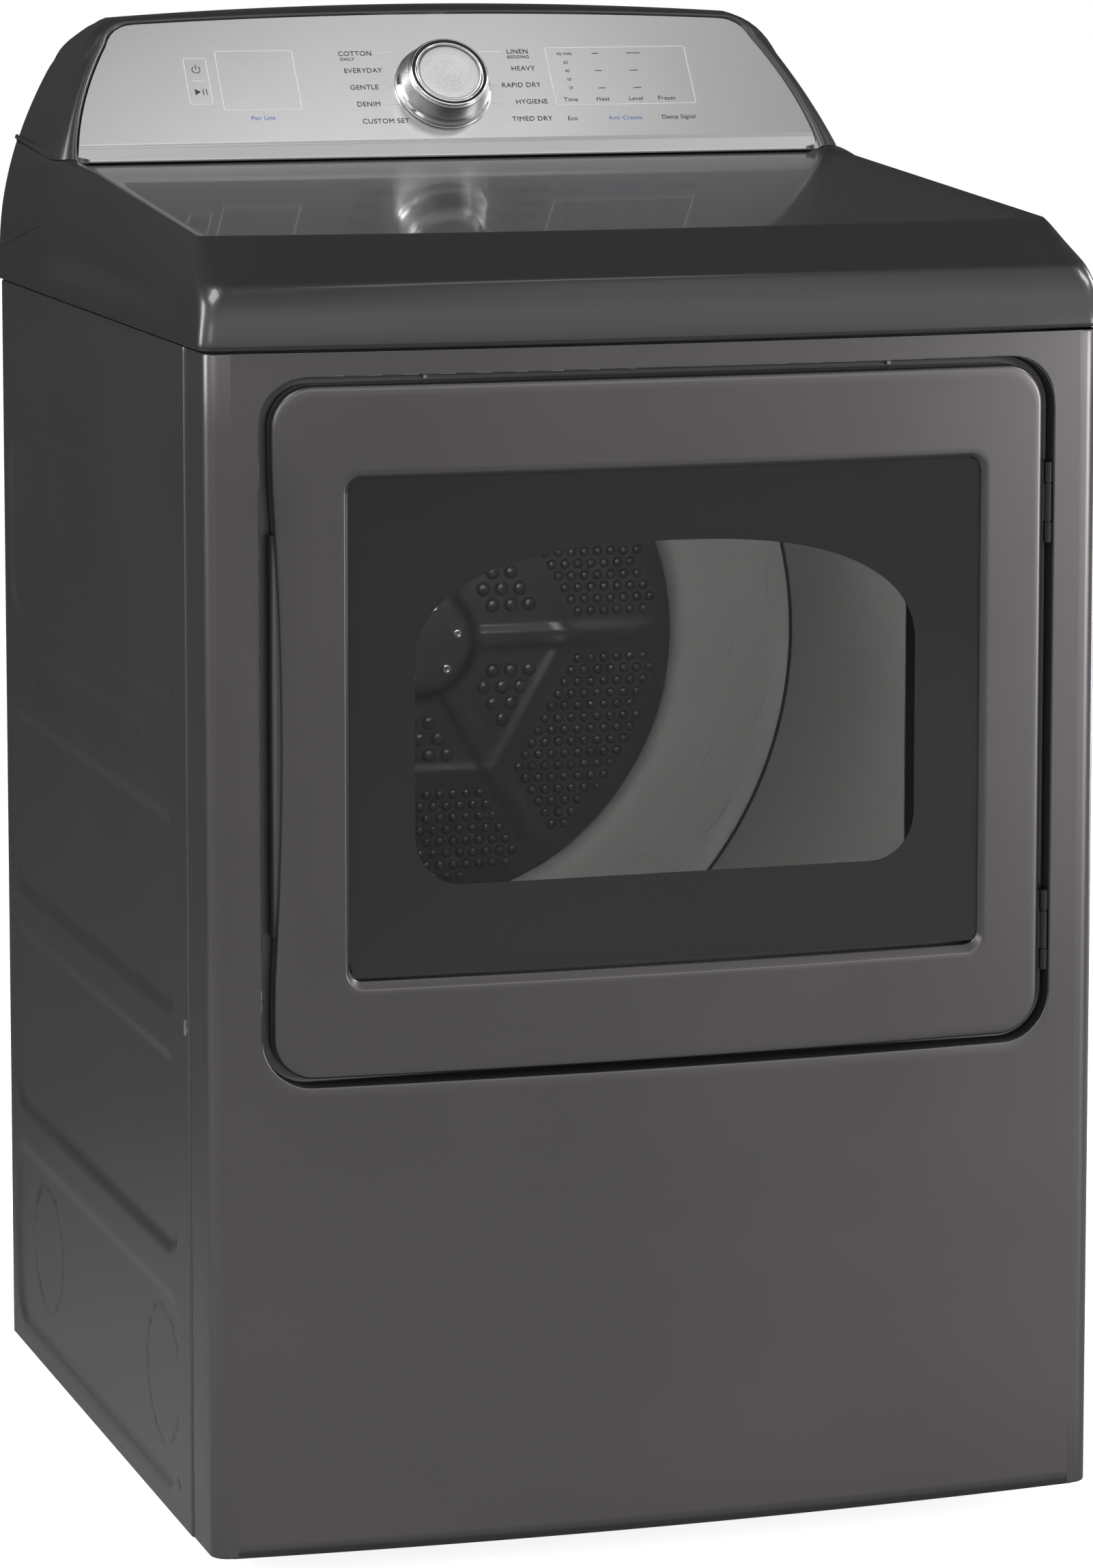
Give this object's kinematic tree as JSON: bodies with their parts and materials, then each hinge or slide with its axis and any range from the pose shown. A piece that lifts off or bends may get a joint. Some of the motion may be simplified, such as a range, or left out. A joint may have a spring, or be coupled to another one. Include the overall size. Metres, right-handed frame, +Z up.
{
  "type": "clothes dryer",
  "caption": "Front-loading vented clothes dryer with a bowed front, wide windowed door, sunken top deck, rotary control knob on a raised rear console and a rear exhaust outlet.",
  "frame": {"origin": "centre of the bounding box at the floor", "axes": "+Z up, -Y is the front with the door, +X is the machine's right-hand side seen from the front, the door's hinge side"},
  "size_m": [0.6948, 0.748, 1.1262],
  "materials": {
    "painted_body": "satin dark metallic grey paint",
    "cover_plastic": "satin dark grey moulding",
    "galvanised": "zinc coated sheet",
    "fascia_silver": "fine brushed silver",
    "fascia_print": "printed clear overlay",
    "chrome": "polished",
    "knob_metal": "knurled and spun metal finish",
    "dark_glass": "dark bordered door glass",
    "clear_glass": "clear",
    "drum_steel": "light grey coated drum",
    "dark_steel": "dark pressed steel",
    "bare_steel": "bare steel",
    "white_plastic": "moulded",
    "grey_plastic": "moulded",
    "black_plastic": "moulded",
    "felt": "pressed felt",
    "seal_rubber": "moulded rubber",
    "board": "circuit board",
    "heating_wire": "resistance wire",
    "bronze": "sintered bush"
  },
  "bodies": {
    "cabinet": {"base_pan": "galvanised", "side_panel_left": "painted_body", "side_panel_right": "painted_body", "rear_panel": "galvanised", "front_panel": "painted_body", "top_cover": "cover_plastic", "console_housing": "cover_plastic", "console_rear_cover": "galvanised", "control_fascia": "fascia_silver", "control_windows": "fascia_print", "control_board": "board", "knob_encoder": "black_plastic", "front_bulkhead": "galvanised", "door_throat": "white_plastic", "drum_seal": "felt", "drum_glides": "white_plastic", "heater_housing": "galvanised", "heater_coil": "heating_wire", "rear_bearing": "bronze", "lint_duct": "grey_plastic", "blower_housing": "grey_plastic", "exhaust_duct": "galvanised", "motor_body": "dark_steel", "motor_bracket": "galvanised", "drive_belt": "seal_rubber", "terminal_block": "black_plastic", "terminal_cover": "galvanised", "thermostats": "white_plastic", "drum_lamp": "clear_glass", "moisture_sensor_bars": "bare_steel", "door_switch_body": "black_plastic", "door_catch": "white_plastic", "cabinet_hinges": "dark_steel", "cabinet_screws": "bare_steel", "side_bumpers": "grey_plastic"},
    "door": {"door_outer_panel": "painted_body", "door_glass": "dark_glass", "door_inner_liner": "grey_plastic", "door_inner_glass": "clear_glass", "door_gasket": "seal_rubber", "door_hinges": "dark_steel", "door_strike": "bare_steel", "handle_insert": "grey_plastic"},
    "knob": {"knob_grip": "knob_metal", "knob_ring": "chrome", "knob_cap": "knob_metal"},
    "drum": {"drum_shell": "drum_steel", "drum_rear_plate": "dark_steel", "drum_baffles": "white_plastic", "drum_shaft": "bare_steel"},
    "motor_rotor": {"motor_rotor": "bare_steel", "blower_wheel": "black_plastic"},
    "idler_arm": {"idler_arm": "bare_steel"},
    "idler_pulley": {"idler_pulley": "white_plastic"},
    "lint_filter": {"lint_filter": "white_plastic"},
    "switch_plunger": {"switch_plunger": "white_plastic"},
    "foot_front_left": {"foot_front_left": "seal_rubber"},
    "foot_front_right": {"foot_front_right": "seal_rubber"},
    "foot_rear_left": {"foot_rear_left": "seal_rubber"},
    "foot_rear_right": {"foot_rear_right": "seal_rubber"}
  },
  "joints": [
    {"name": "door_hinge", "type": "hinge", "parent": "cabinet", "child": "door", "pos_m": [0.301, -0.3545, 0.625], "axis": [0, 0, 1], "range_deg": [0, 110]},
    {"name": "knob_turn", "type": "hinge", "parent": "cabinet", "child": "knob", "pos_m": [0, 0.21545, 1.05998], "axis": [0, -0.8085, 0.5885], "continuous": true},
    {"name": "drum_spin", "type": "hinge", "parent": "cabinet", "child": "drum", "pos_m": [0, 0.0215, 0.595], "axis": [0, 1, 0], "continuous": true},
    {"name": "motor_spin", "type": "hinge", "parent": "cabinet", "child": "motor_rotor", "pos_m": [0.15, -0.1135, 0.152], "axis": [0, 1, 0], "continuous": true},
    {"name": "idler_swing", "type": "hinge", "parent": "cabinet", "child": "idler_arm", "pos_m": [0.1, -0.0075, 0.072], "axis": [0, -1, 0], "range_deg": [0, 8], "stiffness_Nm_per_rad": 3, "springref_deg": -17.19},
    {"name": "idler_spin", "type": "hinge", "parent": "idler_arm", "child": "idler_pulley", "pos_m": [0.07734, -0.0165, 0.159], "axis": [0, 1, 0], "continuous": true},
    {"name": "lint_filter_lift", "type": "slide", "parent": "cabinet", "child": "lint_filter", "axis": [0, 0, 1], "range_m": [0, 0.18]},
    {"name": "door_switch_press", "type": "slide", "parent": "cabinet", "child": "switch_plunger", "axis": [0, 1, 0], "range_m": [0, 0.006], "stiffness_N_per_m": 150, "springref_m": -0.006},
    {"name": "foot_front_left_screw", "type": "slide", "parent": "cabinet", "child": "foot_front_left", "axis": [0, 0, -1], "range_m": [0, 0.02]},
    {"name": "foot_front_right_screw", "type": "slide", "parent": "cabinet", "child": "foot_front_right", "axis": [0, 0, -1], "range_m": [0, 0.02]},
    {"name": "foot_rear_left_screw", "type": "slide", "parent": "cabinet", "child": "foot_rear_left", "axis": [0, 0, -1], "range_m": [0, 0.02]},
    {"name": "foot_rear_right_screw", "type": "slide", "parent": "cabinet", "child": "foot_rear_right", "axis": [0, 0, -1], "range_m": [0, 0.02]}
  ],
  "couplings": [
    {"joint": "motor_spin", "follows": "drum_spin", "ratio": 23.952},
    {"joint": "idler_spin", "follows": "drum_spin", "ratio": -19.61}
  ]
}
